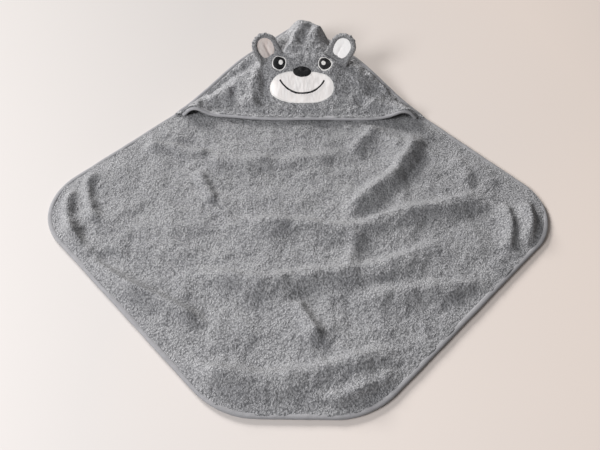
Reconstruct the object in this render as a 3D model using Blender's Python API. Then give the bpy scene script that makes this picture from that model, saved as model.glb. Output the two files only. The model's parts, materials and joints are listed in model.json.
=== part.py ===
"""Hooded baby towel: a square fleece towel lying flat, with an animal-face hood across one corner.

Blender 4.5 script.  Metres, +Z up, +X to the wearer's left, +Y towards the tip of the hood.
Plan coordinates in the functions below have their origin at the centre of the untrimmed square,
whose corners point along X and Y; world() moves them so that the towel is centred on the origin.
"""
import math

import bmesh
import bpy
from mathutils import Matrix, Vector

# Towel, cut from a square that lies with its corners on X and Y
SIDE = 0.760               # edge of the square before its corners are trimmed
APEX_RADIUS = 0.030        # rounding of the corner under the hood's tip
TIP_CUT = 0.06             # share of that rounding by which the panels' tip is cut straight
SIDE_RADIUS = 0.110        # rounding of the left and right corners
FOOT_TRIM = 0.124          # how much the straight foot cuts off the lower corner
FOOT_RADIUS = 0.150        # rounding at both ends of the foot
CLOTH = 0.005              # thickness of the fleece

# Tape that binds every edge
TAPE_WIDTH = 0.009
TAPE_THICKNESS = 0.0056    # round the single layer of the hood's front edge
TAPE_FLOOR_GAP = 0.0003    # tape on the lying edge stays this far off the ground
THREAD_WIDTH = 0.0012
THREAD_HEIGHT = 0.0005
THREAD_SETBACK = 0.0025    # thread line, from the tape's inner edge
GAP = 0.0004               # between touching pieces

# Hood: a triangle over one corner, held by both seams and puffed up behind its front edge
HOOD_HEIGHT = 0.2714       # from the square's corner down to the ends of the front edge
FRONT_BOW = 0.014          # the front edge's middle hangs this far below its ends
LAYER_GAP = 0.0008         # between the hood and the cloth behind it, along the seams
SEAM_RISE = 0.036          # how far the seams curl up off the ground
SEAM_RISE_RUN = 0.150      # length along Y over which they rise
CURL_WIDTH = 0.070         # the cloth behind is lifted this far in from the seams
CROWN = 0.035              # height of the puff above the seams
CROWN_SIDE_RUN = 0.085     # distance from the seams at which it is full
CROWN_FRONT_RUN = 0.120    # distance from the front edge at which it is full
RIDGE_SOFTNESS = 0.020     # rounding of the crown's middle line
FRONT_LIFT = 0.014         # the front edge gapes by this much near both ends
FRONT_LIFT_PLACE = 0.90    # where, as a share of half the front edge
FRONT_LIFT_WIDTH = 0.12
FRONT_LIFT_DEPTH = 0.035
NECK_SETBACK = 0.034       # fold line across the towel, below the ends of the front edge

# Face, embroidered and appliqued on the hood; heights along Y are from the fold line
FACE_X = 0.004             # the face sits slightly off the middle
MUZZLE_HALF_WIDTH = 0.071
MUZZLE_TOP = 0.112
MUZZLE_BOTTOM = 0.045
LOBE_OFFSET = 0.030        # middle of each upper lobe
LOBE_DIP = 0.006           # dip between the lobes
MUZZLE_SQUARENESS = 0.86   # 1 would be a plain oval
BORDER_WIDTH = 0.003
PATCH = 0.0012             # thickness of an appliqued patch
STITCH = 0.0010            # height of dense embroidery
DRAPE_GAP = 0.0005         # between layers on the curved hood
NOSE_HALF_WIDTH = 0.020
NOSE_HALF_HEIGHT = 0.0112
NOSE_Y = 0.1095
MOUTH_HALF_WIDTH = 0.0485
MOUTH_TOP = 0.0915
MOUTH_SAG = 0.0260
MOUTH_ROUNDNESS = 0.90     # 1 would make the ends of the smile upright
MOUTH_WIDTH = 0.0028
EYE_X = 0.0510
EYE_Y = 0.1275
EYE_RADIUS = 0.0163
EYE_RING_WIDTH = 0.0028
GLINT_RADIUS = 0.0048
GLINT_X = 0.0036           # towards the nose

# Ears, discs cut off by a straight base that stands on the hood
EAR_RADIUS = 0.033
EAR_CENTRE_HEIGHT = 0.024  # middle of the disc above the base line
EAR_LAYER = 0.0042         # each of the two plush layers
EAR_PATCH_RADIUS = 0.0225
EAR_PATCH_BASE = 0.006     # lower end of the patch above the base line
EAR_X = 0.077              # from the middle of the face
EAR_Y = 0.152              # from the fold line
EAR_TURN = 32.0            # base line's turn towards the seam, degrees
EAR_LEAN = 35.0            # lean back from upright, degrees
EAR_STAND_OFF = 0.0070     # hinge line above the hood

# Mesh density
EDGE_STEPS = 9             # steps round a corner
SEAM_STEPS = 12            # steps along a hood seam
HOOD_ROWS = 16
ROW_CROWDING = 1.2         # above 1 draws the rows together towards the tip
HOOD_COLUMNS = 24
BACK_COLUMNS = 16
PATCH_RINGS = 4
MUZZLE_STEPS = 48
MOUTH_STEPS = 10           # on each side of its middle
EYE_STEPS = 24

# Colours
GREY_FLEECE = (0.22, 0.23, 0.25)
GREY_TAPE = (0.36, 0.36, 0.38)
OFF_WHITE = (0.80, 0.77, 0.73)
BLACK_THREAD = (0.012, 0.012, 0.014)

# Derived places
ROOT2 = math.sqrt(2)
HALF_DIAGONAL = SIDE / ROOT2
FOOT_Y = -(HALF_DIAGONAL - FOOT_TRIM)
APEX_Y = HALF_DIAGONAL - APEX_RADIUS * (ROOT2 - 1)
CENTRE_Y = (APEX_Y + FOOT_Y) / 2
PANEL_INSET = TAPE_WIDTH + GAP
THREAD_INSET = TAPE_WIDTH - THREAD_SETBACK
HOOD_BASE_Y = HALF_DIAGONAL - HOOD_HEIGHT
HOOD_HALF = HOOD_HEIGHT - ROOT2 * PANEL_INSET
NECK_Y = HOOD_BASE_Y - NECK_SETBACK
APEX_CENTRE_Y = HALF_DIAGONAL - ROOT2 * APEX_RADIUS
TIP_Y = APEX_CENTRE_Y + APEX_RADIUS - PANEL_INSET
PANEL_TIP_Y = TIP_Y - TIP_CUT * (APEX_RADIUS - PANEL_INSET)
NECK_Z = CLOTH + GAP + THREAD_HEIGHT
TWO_LAYERS = 2 * CLOTH + LAYER_GAP
TIP_Z = SEAM_RISE + TWO_LAYERS + GAP


# ---------------------------------------------------------------- shape of the cloth

def clamp(value):
    return max(0.0, min(1.0, value))


def ease(value):
    t = clamp(value)
    return t * t * (3 - 2 * t)


def dome(value):
    return 1 - (1 - clamp(value)) ** 2


def seam_rise(y):
    return SEAM_RISE * ease((y - HOOD_BASE_Y) / SEAM_RISE_RUN)


def seam_distance(x, y):
    """Distance in from the nearer hood seam, where the panels end."""
    return max(0.0, (HALF_DIAGONAL - math.hypot(x, RIDGE_SOFTNESS) - y) / ROOT2 - PANEL_INSET)


def front_y(x):
    return HOOD_BASE_Y - FRONT_BOW * (1 - min(1.0, (x / HOOD_HALF) ** 2))


def back_under(x, y):
    """Underside of the towel's hooded corner."""
    return seam_rise(y) * (1 - clamp(seam_distance(x, y) / CURL_WIDTH)) ** 2


def back_top(x, y):
    return back_under(x, y) + CLOTH


def hood_under(x, y):
    """Underside of the hood, which the puff lifts off the corner behind it."""
    behind_front = max(0.0, y - front_y(x))
    from_seam = seam_distance(x, y)
    puff = CROWN * dome(from_seam / CROWN_SIDE_RUN) * dome(behind_front / CROWN_FRONT_RUN)
    along = (abs(x) / HOOD_HALF - FRONT_LIFT_PLACE) / FRONT_LIFT_WIDTH
    gape = math.exp(-along ** 2 - (behind_front / FRONT_LIFT_DEPTH) ** 2)
    gape *= FRONT_LIFT * dome(from_seam / FRONT_LIFT_DEPTH)
    return CLOTH + LAYER_GAP + seam_rise(y) + puff + gape


def hood_top(x, y):
    return hood_under(x, y) + CLOTH


def seam_top(x, y):
    """Top of the tape over the seams: one layer of cloth at the fold line, two beside the hood."""
    doubled = ease((y - HOOD_BASE_Y + TAPE_WIDTH) / TAPE_WIDTH)
    return seam_rise(y) + CLOTH + (TWO_LAYERS - CLOTH) * doubled


def panel_rows():
    """Heights along Y of the hood's rows, closer together towards the tip, which is cut straight."""
    return [HOOD_BASE_Y + (PANEL_TIP_Y - HOOD_BASE_Y) * (1 - (1 - k / HOOD_ROWS) ** ROW_CROWDING)
            for k in range(HOOD_ROWS + 1)]


def half_width(y, inset):
    """Half the width of the hooded corner at height y, inside its edge by inset."""
    radius = APEX_RADIUS - inset
    if y > APEX_CENTRE_Y + radius / ROOT2:
        return math.sqrt(max(0.0, radius ** 2 - (y - APEX_CENTRE_Y) ** 2))
    return HALF_DIAGONAL - y - ROOT2 * inset


def arc(centre, radius, start, end, steps=EDGE_STEPS):
    """Points on an arc, angles in degrees."""
    angles = [math.radians(start + (end - start) * i / steps) for i in range(steps + 1)]
    return [(centre[0] + radius * math.cos(a), centre[1] + radius * math.sin(a)) for a in angles]


def lower_edge(inset):
    """Towel's edge from the right end of the fold line, round the foot, to its left end."""
    side_centre = HALF_DIAGONAL - ROOT2 * SIDE_RADIUS
    foot_centre_y = FOOT_Y + FOOT_RADIUS
    foot_centre_x = HALF_DIAGONAL + foot_centre_y - ROOT2 * FOOT_RADIUS
    side = SIDE_RADIUS - inset
    foot = FOOT_RADIUS - inset
    neck = HALF_DIAGONAL - NECK_Y - ROOT2 * inset
    points = [(neck, NECK_Y)]
    points += arc((side_centre, 0), side, 45, -45)
    points += arc((foot_centre_x, foot_centre_y), foot, -45, -90)
    points += arc((-foot_centre_x, foot_centre_y), foot, -90, -135)
    points += arc((-side_centre, 0), side, -135, -225)
    points.append((-neck, NECK_Y))
    return points


def upper_edge(inset):
    """Hooded corner's edge from the right end of the fold line, over the tip, to its left end."""
    start_y = NECK_Y + GAP
    radius = APEX_RADIUS - inset
    end_y = APEX_CENTRE_Y + radius / ROOT2
    rows = [start_y + (end_y - start_y) * i / SEAM_STEPS for i in range(SEAM_STEPS)]
    right = [(half_width(y, inset), y) for y in rows]
    left = [(-x, y) for x, y in reversed(right)]
    return right + arc((0, APEX_CENTRE_Y), radius, 45, 135, 2 * (EDGE_STEPS // 2)) + left


def front_line(offset, half_length):
    """Line in front of the hood's front edge, from right to left."""
    steps = HOOD_COLUMNS
    xs = [half_length * (1 - 2 * i / steps) for i in range(steps + 1)]
    return [(x, front_y(x) - offset) for x in xs]


# ---------------------------------------------------------------- making solids

def world(point):
    return Vector((point[0], point[1] - CENTRE_Y, point[2]))


def material(name, colour, roughness):
    made = bpy.data.materials.new(name)
    made.use_nodes = True
    shader = made.node_tree.nodes["Principled BSDF"]
    shader.inputs["Base Color"].default_value = (*colour, 1)
    shader.inputs["Roughness"].default_value = roughness
    shader.inputs["Metallic"].default_value = 0.0
    return made


def piece(name, mesh, pivot, colour, roughness=0.9):
    """Closed piece from world-space geometry, parented to the empty on its joint's axis."""
    bmesh.ops.recalc_face_normals(mesh, faces=mesh.faces)
    data = bpy.data.meshes.new(name)
    mesh.to_mesh(data)
    mesh.free()
    made = bpy.data.objects.new(name, data)
    bpy.context.scene.collection.objects.link(made)
    made.data.materials.append(material(name, colour, roughness))
    data.shade_smooth()
    data.set_sharp_from_angle(angle=math.radians(35))
    if pivot is not None:
        data.transform(pivot.matrix_world.inverted())
        made.parent = pivot
    return made


def pivot(name, location, rotation=None, parent=None):
    """Empty on a joint's axis."""
    made = bpy.data.objects.new(name, None)
    bpy.context.scene.collection.objects.link(made)
    matrix = Matrix.Translation(location)
    if rotation is not None:
        matrix = matrix @ rotation.to_4x4()
    if parent is not None:
        made.parent = parent
        matrix = parent.matrix_world.inverted() @ matrix
    made.location = matrix.to_translation()
    made.rotation_euler = matrix.to_euler()
    bpy.context.view_layer.update()
    return made


def loft(rings, closed):
    """Solid through closed rings of points; an open row of rings gets flat ends."""
    mesh = bmesh.new()
    made = [[mesh.verts.new(point) for point in ring] for ring in rings]
    following = made[1:] + made[:1] if closed else made[1:]
    for first, second in zip(made, following):
        for i, _ in enumerate(first):
            mesh.faces.new((first[i - 1], first[i], second[i], second[i - 1]))
    if not closed:
        mesh.faces.new(made[0])
        mesh.faces.new(list(reversed(made[-1])))
    return mesh


def slab(lower, upper):
    """Solid between two grids of points with the same rows and columns."""
    mesh = bmesh.new()
    low = [[mesh.verts.new(point) for point in row] for row in lower]
    high = [[mesh.verts.new(point) for point in row] for row in upper]
    for grid in (low, high):
        for row, following in zip(grid, grid[1:]):
            for i in range(len(row) - 1):
                mesh.faces.new((row[i], row[i + 1], following[i + 1], following[i]))
    rims = []
    for grid in (low, high):
        right = [row[-1] for row in grid[1:-1]]
        left = [row[0] for row in grid[1:-1]]
        rims.append(grid[0] + right + list(reversed(grid[-1])) + list(reversed(left)))
    for i, _ in enumerate(rims[0]):
        mesh.faces.new((rims[0][i - 1], rims[0][i], rims[1][i], rims[1][i - 1]))
    return mesh


def tape(outer, inner, low, high):
    """Rounded tape between an outer and an inner line, from height low(x, y) to high(x, y)."""
    rings = []
    for (ax, ay), (bx, by) in zip(outer, inner):
        ring = []
        for i in range(8):
            angle = math.radians(22.5 + 45 * i)
            across = 0.5 + 0.5 * math.cos(angle) / math.cos(math.radians(22.5))
            up = 0.5 + 0.5 * math.sin(angle) / math.cos(math.radians(22.5))
            x = ax + (bx - ax) * across
            y = ay + (by - ay) * across
            floor = low(ax, ay)
            ring.append(world((x, y, floor + (high(ax, ay) - floor) * up)))
        rings.append(ring)
    return loft(rings, closed=False)


def thread(left, right, tape_edge, tape_top):
    """Flat line of stitching between two lines, on the tape whose outer edge and top are given."""
    rings = []
    for (ax, ay), (bx, by), (tx, ty) in zip(left, right, tape_edge):
        low = tape_top(tx, ty) + GAP
        high = low + THREAD_HEIGHT
        rings.append([world(p) for p in ((ax, ay, low), (bx, by, low), (bx, by, high), (ax, ay, high))])
    return loft(rings, closed=False)


def patch(outline, centre, base, thickness):
    """Thin piece lying on a curved surface of height base(x, y)."""
    mesh = bmesh.new()
    layers = []
    for lift in (0.0, thickness):
        rings = []
        for k in range(PATCH_RINGS):
            share = 1 - k / PATCH_RINGS
            ring = []
            for x, y in outline:
                px = centre[0] + (x - centre[0]) * share
                py = centre[1] + (y - centre[1]) * share
                ring.append(mesh.verts.new(world((px, py, base(px, py) + lift))))
            rings.append(ring)
        middle = mesh.verts.new(world((*centre, base(*centre) + lift)))
        for ring, inner in zip(rings, rings[1:]):
            for i, _ in enumerate(ring):
                mesh.faces.new((ring[i - 1], ring[i], inner[i], inner[i - 1]))
        for i, _ in enumerate(rings[-1]):
            mesh.faces.new((rings[-1][i - 1], rings[-1][i], middle))
        layers.append(rings[0])
    for i, _ in enumerate(outline):
        mesh.faces.new((layers[0][i - 1], layers[0][i], layers[1][i], layers[1][i - 1]))
    return mesh


def band(outer, inner, base, thickness, closed):
    """Band between two lines on a curved surface."""
    rings = []
    for (ax, ay), (bx, by) in zip(outer, inner):
        corners = ((ax, ay, 0), (bx, by, 0), (bx, by, thickness), (ax, ay, thickness))
        rings.append([world((x, y, base(x, y) + lift)) for x, y, lift in corners])
    return loft(rings, closed)


# ---------------------------------------------------------------- towel

def build_towel():
    outline = [world((x, y, 0)) for x, y in lower_edge(PANEL_INSET)]
    mesh = bmesh.new()
    face = mesh.faces.new([mesh.verts.new(point) for point in outline])
    extruded = bmesh.ops.extrude_face_region(mesh, geom=[face])
    raised = [item for item in extruded["geom"] if isinstance(item, bmesh.types.BMVert)]
    bmesh.ops.translate(mesh, verts=raised, vec=(0, 0, CLOTH))
    piece("towel_panel", mesh, None, GREY_FLEECE)

    floor = lambda x, y: TAPE_FLOOR_GAP
    top = lambda x, y: CLOTH
    piece("edge_binding", tape(lower_edge(0), lower_edge(TAPE_WIDTH), floor, top), None, GREY_TAPE)
    lines = [lower_edge(THREAD_INSET - side * THREAD_WIDTH / 2) for side in (1, -1)]
    piece("edge_stitching", thread(*lines, lower_edge(0), top), None, GREY_TAPE)


def build_hooded_corner(neck):
    rows = [NECK_Y + GAP] + panel_rows()
    grids = []
    for height in (back_under, back_top):
        grid = []
        for y in rows:
            width = half_width(y, PANEL_INSET)
            xs = [width * (2 * i / BACK_COLUMNS - 1) for i in range(BACK_COLUMNS + 1)]
            grid.append([world((x, y, height(x, y))) for x in xs])
        grids.append(grid)
    piece("hooded_corner", slab(*grids), neck, GREY_FLEECE)

    floor = lambda x, y: seam_rise(y) + TAPE_FLOOR_GAP
    piece("hood_seam_binding", tape(upper_edge(0), upper_edge(TAPE_WIDTH), floor, seam_top), neck, GREY_TAPE)
    lines = [upper_edge(THREAD_INSET - side * THREAD_WIDTH / 2) for side in (1, -1)]
    piece("hood_seam_stitching", thread(*lines, upper_edge(0), seam_top), neck, GREY_TAPE)


# ---------------------------------------------------------------- hood

def build_hood(hood):
    grids = []
    for height in (hood_under, hood_top):
        grid = []
        for k, row_y in enumerate(panel_rows()):
            bow = FRONT_BOW * (1 - k / HOOD_ROWS) ** 2
            width = half_width(row_y, PANEL_INSET)
            row = []
            for i in range(HOOD_COLUMNS + 1):
                u = 2 * i / HOOD_COLUMNS - 1
                y = row_y - bow * (1 - u ** 2)
                row.append(world((u * width, y, height(u * width, y))))
            grid.append(row)
        grids.append(grid)
    piece("hood_panel", slab(*grids), hood, GREY_FLEECE)

    half_length = HOOD_HALF - GAP
    spare = (TAPE_THICKNESS - CLOTH) / 2
    low = lambda x, y: hood_under(x, front_y(x)) - spare
    high = lambda x, y: hood_top(x, front_y(x)) + spare
    outer = front_line(GAP + TAPE_WIDTH, half_length - TAPE_WIDTH)
    inner = front_line(GAP, half_length - TAPE_WIDTH)
    piece("hood_front_binding", tape(outer, inner, low, high), hood, GREY_TAPE)
    middle = GAP + TAPE_WIDTH - THREAD_INSET
    lines = [front_line(middle + side * THREAD_WIDTH / 2, half_length - TAPE_WIDTH) for side in (1, -1)]
    piece("hood_front_stitching", thread(*lines, outer, high), hood, GREY_TAPE)


# ---------------------------------------------------------------- face

def squarer(value):
    """Sine or cosine, pushed outwards so that an oval's corners fill out."""
    return math.copysign(abs(value) ** MUZZLE_SQUARENESS, value)


def muzzle_outline(margin):
    """Bean-shaped outline: a rounded bowl below, and two lobes on top with a dip between them."""
    half_width_here = MUZZLE_HALF_WIDTH + margin
    middle = NECK_Y + (MUZZLE_TOP + MUZZLE_BOTTOM) / 2
    half_height = (MUZZLE_TOP - MUZZLE_BOTTOM) / 2 + margin
    points = []
    for i in range(MUZZLE_STEPS):
        angle = 2 * math.pi * i / MUZZLE_STEPS
        x = half_width_here * squarer(math.cos(angle))
        y = half_height * squarer(math.sin(angle))
        if y > 0:
            y -= LOBE_DIP * math.exp(-(x / (LOBE_OFFSET / 2)) ** 2) * y / half_height
        points.append((FACE_X + x, middle + y))
    return points


def circle(centre, radius, steps):
    return arc(centre, radius, 0, 360, steps)[:-1]


def ellipse(centre, half_x, half_y, steps):
    angles = [2 * math.pi * i / steps for i in range(steps)]
    return [(centre[0] + half_x * math.cos(a), centre[1] + half_y * math.sin(a)) for a in angles]


def above_hood(lift):
    return lambda x, y: hood_top(x, y) + lift


def mouth_lines():
    """Lower and upper side of the smile, an arc of an ellipse."""
    reach = math.asin(MOUTH_ROUNDNESS)
    half_x = MOUTH_HALF_WIDTH / MOUTH_ROUNDNESS
    half_y = MOUTH_SAG / (1 - math.cos(reach))
    centre_y = NECK_Y + MOUTH_TOP + half_y * math.cos(reach)
    lines = []
    for grow in (MOUTH_WIDTH / 2, -MOUTH_WIDTH / 2):
        angles = [reach * (i / MOUTH_STEPS - 1) for i in range(2 * MOUTH_STEPS + 1)]
        line = [(math.sin(a) * (half_x + grow), math.cos(a) * (half_y + grow)) for a in angles]
        lines.append([(FACE_X + x, centre_y - y) for x, y in line])
    return lines


def build_face(hood):
    on_hood = above_hood(DRAPE_GAP)
    on_patch = above_hood(2 * DRAPE_GAP + PATCH)
    muzzle_centre = (FACE_X, NECK_Y + (MUZZLE_TOP + MUZZLE_BOTTOM) / 2)
    inner = -BORDER_WIDTH - GAP
    piece("muzzle_patch", patch(muzzle_outline(inner), muzzle_centre, on_hood, PATCH), hood, OFF_WHITE)
    border = band(muzzle_outline(0), muzzle_outline(-BORDER_WIDTH), on_hood, PATCH, closed=True)
    piece("muzzle_border_stitching", border, hood, OFF_WHITE)

    nose_centre = (FACE_X, NECK_Y + NOSE_Y)
    nose = ellipse(nose_centre, NOSE_HALF_WIDTH, NOSE_HALF_HEIGHT, 28)
    piece("nose", patch(nose, nose_centre, on_patch, STITCH), hood, BLACK_THREAD, 0.5)

    piece("mouth", band(*mouth_lines(), on_patch, STITCH, closed=False), hood, BLACK_THREAD, 0.5)

    for name, side in (("left", -1), ("right", 1)):
        centre = (FACE_X + side * EYE_X, NECK_Y + EYE_Y)
        pupil_edge = EYE_RADIUS - EYE_RING_WIDTH
        edges = [circle(centre, radius, EYE_STEPS) for radius in (EYE_RADIUS, pupil_edge)]
        piece(name + "_eye_ring", band(*edges, on_hood, STITCH, closed=True), hood, OFF_WHITE)
        pupil = patch(circle(centre, pupil_edge - GAP, EYE_STEPS), centre, on_hood, STITCH)
        piece(name + "_eye", pupil, hood, BLACK_THREAD, 0.5)
        glint_centre = (centre[0] - side * GLINT_X, centre[1])
        on_pupil = above_hood(2 * DRAPE_GAP + STITCH)
        glint = patch(circle(glint_centre, GLINT_RADIUS, EYE_STEPS // 2), glint_centre, on_pupil, STITCH)
        piece(name + "_eye_glint", glint, hood, OFF_WHITE)


# ---------------------------------------------------------------- ears

def ear_rotation(side):
    """Local X runs along the ear's base over the hood's slope, local Y up the ear, local Z forwards."""
    turn = math.radians(EAR_TURN)
    lean = math.radians(EAR_LEAN)
    reach = EAR_RADIUS / 2
    heading = Vector((math.cos(turn), -side * math.sin(turn), 0))
    ends = [Vector((FACE_X + side * EAR_X, NECK_Y + EAR_Y, 0)) + heading * way * reach for way in (-1, 1)]
    for end in ends:
        end.z = hood_top(end.x, end.y)
    along = (ends[1] - ends[0]).normalized()
    outward = Vector((side * math.sin(turn), math.cos(turn), 0))
    up = outward * math.sin(lean) + Vector((0, 0, math.cos(lean)))
    up = (up - along * up.dot(along)).normalized()
    return Matrix((along, up, along.cross(up))).transposed()


def ear_outline():
    cut = math.degrees(math.asin(EAR_CENTRE_HEIGHT / EAR_RADIUS))
    return arc((0, EAR_CENTRE_HEIGHT), EAR_RADIUS, -cut, 180 + cut, 24)


def plate(outline, near, far, hinge):
    """Flat plate in the ear's own frame, between two local heights."""
    rings = [[hinge.matrix_world @ Vector((x, y, z)) for x, y in outline] for z in (near, far)]
    return loft(rings, closed=False)


def build_ear(name, side, hood):
    x = FACE_X + side * EAR_X
    y = NECK_Y + EAR_Y
    place = world((x, y, hood_top(x, y) + EAR_STAND_OFF))
    hinge = pivot(name + "_ear_hinge", place, ear_rotation(side), hood)
    half_gap = GAP / 2
    back = plate(ear_outline(), -half_gap - EAR_LAYER, -half_gap, hinge)
    piece(name + "_ear_back", back, hinge, GREY_FLEECE)
    front = plate(ear_outline(), half_gap, half_gap + EAR_LAYER, hinge)
    piece(name + "_ear_front", front, hinge, GREY_FLEECE)
    outline = circle((0, EAR_PATCH_BASE + EAR_PATCH_RADIUS), EAR_PATCH_RADIUS, 24)
    face = half_gap + EAR_LAYER + GAP
    piece(name + "_ear_inner_patch", plate(outline, face, face + PATCH, hinge), hinge, OFF_WHITE)


def main():
    for old in list(bpy.data.objects):
        bpy.data.objects.remove(old, do_unlink=True)
    neck = pivot("neck_fold_axis", world((0, NECK_Y, NECK_Z)))
    hood = pivot("hood_open_axis", world((0, TIP_Y, TIP_Z)), parent=neck)
    build_towel()
    build_hooded_corner(neck)
    build_hood(hood)
    build_face(hood)
    build_ear("left", -1, hood)
    build_ear("right", 1, hood)


main()
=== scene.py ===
import json
import math

import bpy
import numpy as np
from mathutils import Matrix, Vector
from mathutils.geometry import delaunay_2d_cdt


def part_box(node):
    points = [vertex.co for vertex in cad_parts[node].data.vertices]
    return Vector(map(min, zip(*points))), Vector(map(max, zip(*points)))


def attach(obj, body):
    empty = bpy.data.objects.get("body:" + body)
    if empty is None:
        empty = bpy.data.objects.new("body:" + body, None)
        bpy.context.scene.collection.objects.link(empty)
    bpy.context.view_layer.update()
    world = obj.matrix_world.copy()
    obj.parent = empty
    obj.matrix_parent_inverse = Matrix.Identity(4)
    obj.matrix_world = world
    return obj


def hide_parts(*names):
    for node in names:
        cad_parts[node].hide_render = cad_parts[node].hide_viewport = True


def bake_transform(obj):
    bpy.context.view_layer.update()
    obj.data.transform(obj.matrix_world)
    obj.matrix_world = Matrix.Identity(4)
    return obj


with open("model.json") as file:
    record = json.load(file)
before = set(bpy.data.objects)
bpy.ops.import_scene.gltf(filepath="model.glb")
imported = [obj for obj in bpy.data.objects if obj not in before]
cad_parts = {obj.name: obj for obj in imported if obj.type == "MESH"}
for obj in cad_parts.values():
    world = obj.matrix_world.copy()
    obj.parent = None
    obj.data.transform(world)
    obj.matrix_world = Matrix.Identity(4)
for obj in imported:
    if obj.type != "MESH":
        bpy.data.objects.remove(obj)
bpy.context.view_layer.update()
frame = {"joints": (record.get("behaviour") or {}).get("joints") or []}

# ---- sizes shared with the CAD, in metres
ROOT2 = math.sqrt(2)
SIDE = 0.760
APEX_RADIUS = 0.030
SIDE_RADIUS = 0.110
FOOT_TRIM = 0.124
FOOT_RADIUS = 0.150
CLOTH = 0.005
LAYER_GAP = 0.0008
TAPE_WIDTH = 0.009
PANEL_INSET = 0.0094
HOOD_HEIGHT = 0.2714
FRONT_BOW = 0.014
SEAM_RISE = 0.036
SEAM_RISE_RUN = 0.150
CURL_WIDTH = 0.070
CROWN = 0.035
CROWN_SIDE_RUN = 0.085
CROWN_FRONT_RUN = 0.120
RIDGE_SOFTNESS = 0.020
NECK_SETBACK = 0.034
EAR_RADIUS = 0.033
EAR_CENTRE_HEIGHT = 0.024
EAR_LEAN = 35.0
EAR_TURN = 32.0
MUZZLE_HALF_WIDTH = 0.071
MUZZLE_HALF_HEIGHT = 0.0335
MUZZLE_UP = 0.0785           # from the neck fold to the muzzle's middle
MUZZLE_DIP = 0.006           # between the two lobes of its upper edge
MUZZLE_DIP_WIDTH = 0.015
MUZZLE_POWER = 0.86          # below 1 is squarer than an ellipse
MOUTH_UP = 0.0915

HALF_DIAGONAL = SIDE / ROOT2
FOOT_Y = -(HALF_DIAGONAL - FOOT_TRIM)
APEX_Y = HALF_DIAGONAL - APEX_RADIUS * (ROOT2 - 1)
CENTRE_Y = (APEX_Y + FOOT_Y) / 2
HOOD_BASE_Y = HALF_DIAGONAL - HOOD_HEIGHT
HOOD_HALF = HOOD_HEIGHT - ROOT2 * PANEL_INSET
NECK_Y = HOOD_BASE_Y - NECK_SETBACK
APEX_CENTRE_Y = HALF_DIAGONAL - ROOT2 * APEX_RADIUS
SIDE_CENTRE = HALF_DIAGONAL - ROOT2 * SIDE_RADIUS
FOOT_CENTRE_Y = FOOT_Y + FOOT_RADIUS
FOOT_CENTRE_X = HALF_DIAGONAL + FOOT_CENTRE_Y - ROOT2 * FOOT_RADIUS

# ---- sizes of the looks, in metres
RIM = 0.0032                 # the sheets end this far inside the outline, within the tape
TOWEL_MESH = (0.0026, 0.012)  # spacing of the upper and the lower side
HOOD_MESH = (0.0016, 0.007)
PILE = 0.0024
HOOD_PILE = 0.0036

FOLD_GAIN = 3.2              # what the heights in the fold tables are multiplied by
HOOD_FOLD_GAIN = 1.9
FOLD_TAPER = 0.22            # share of a fold's length over which each end fades out
FOLD_SPREAD = (1.5, 1.15)    # what the widths in the tables are multiplied by, above and below
HOOD_FOLD_SPREAD = (1.4, 1.4)
DENT_SPREAD = 1.4
TOWEL_RELIEF = ((0.0042, 0.085, 3), (0.0030, 0.040, 4), (0.0014, 0.018, 5))  # height, size, seed
TOWEL_RAISED = 0.0030
HOOD_RELIEF = ((0.0018, 0.045, 7),)
HOOD_FINE_RELIEF = ((0.0020, 0.021, 8), (0.0011, 0.012, 9))

TAPE_ACROSS = 0.0096
TAPE_STEP = 0.0030
TAPE_LOW = 0.0003
TAPE_HIGH = 0.0074
HOOD_SEAM_HIGHER = 0.0052    # the tape is this much thicker where the hood is sewn in
FRONT_TAPE_HALF = (0.0054, 0.0038)
FRONT_TAPE_OUT = 0.0080      # in front of front_y
FRONT_STITCHES_OUT = 0.0066
FRONT_STITCHES_UP = 0.0034
HOOD_CLOTH_OUT = 0.0100
OUTLINE_STITCHES_IN = 0.0068
STITCH = (0.0036, 0.0027, 0.0008)  # pitch, length and width

BORDER_WIDTH = 0.003
EYE_RING_WIDTH = 0.0028
GLINT_RADIUS = 0.0048
THREAD_PITCH = 0.0011

EAR_ROUND = 0.0300
EAR_LOWERED = {"left": 0.010, "right": 0.006}
EAR_SHIFT = {"left": -0.0002, "right": 0.0045}
EAR_SUNK = 0.009             # how far below its hinge line an ear goes into the hood's pile
EAR_CURVE = 6.5              # an ear bows forwards by this times its half width squared
EAR_TIP_LEAN = 0.10
EAR_TIP_START = 0.012
EAR_PILE = 0.0022
EAR_RUFFLE = ((0.0020, 0.0058, 84), (0.0010, 0.0030, 85))
LINING_HALF = 0.0190
LINING_UP = 0.0225
LINING_DOWN = 0.0300
LINING_MIDDLE = 0.0260
LINING_DEPTH = 0.0012


# ---- numbers over whole arrays

def ease(value):
    t = np.clip(value, 0, 1)
    return t * t * (3 - 2 * t)


def dome(value):
    return 1 - (1 - np.clip(value, 0, 1)) ** 2


def bell(*values):
    return np.exp(-sum(v ** 2 for v in values))


LATTICE = 128                # cells before the noise repeats


def lattice_cell(x, y, cell):
    u, v = x / cell + 500, y / cell + 500
    return u, v, np.floor(u).astype(int), np.floor(v).astype(int)


def noise(x, y, cell, seed):
    """Smooth gradient noise, about -1 to 1."""
    angles = np.random.default_rng(seed).uniform(0, 2 * math.pi, (LATTICE, LATTICE))
    u, v, i, j = lattice_cell(x, y, cell)
    f = u - i
    g = v - j

    def corner(di, dj):
        a = angles[(i + di) % LATTICE, (j + dj) % LATTICE]
        return np.cos(a) * (f - di) + np.sin(a) * (g - dj)

    s = f * f * f * (f * (f * 6 - 15) + 10)
    t = g * g * g * (g * (g * 6 - 15) + 10)
    low = corner(0, 0) * (1 - s) + corner(1, 0) * s
    high = corner(0, 1) * (1 - s) + corner(1, 1) * s
    return 1.5 * (low * (1 - t) + high * t)


def relief(x, y, layers):
    return sum(height * noise(x, y, size, seed) for height, size, seed in layers)


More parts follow.
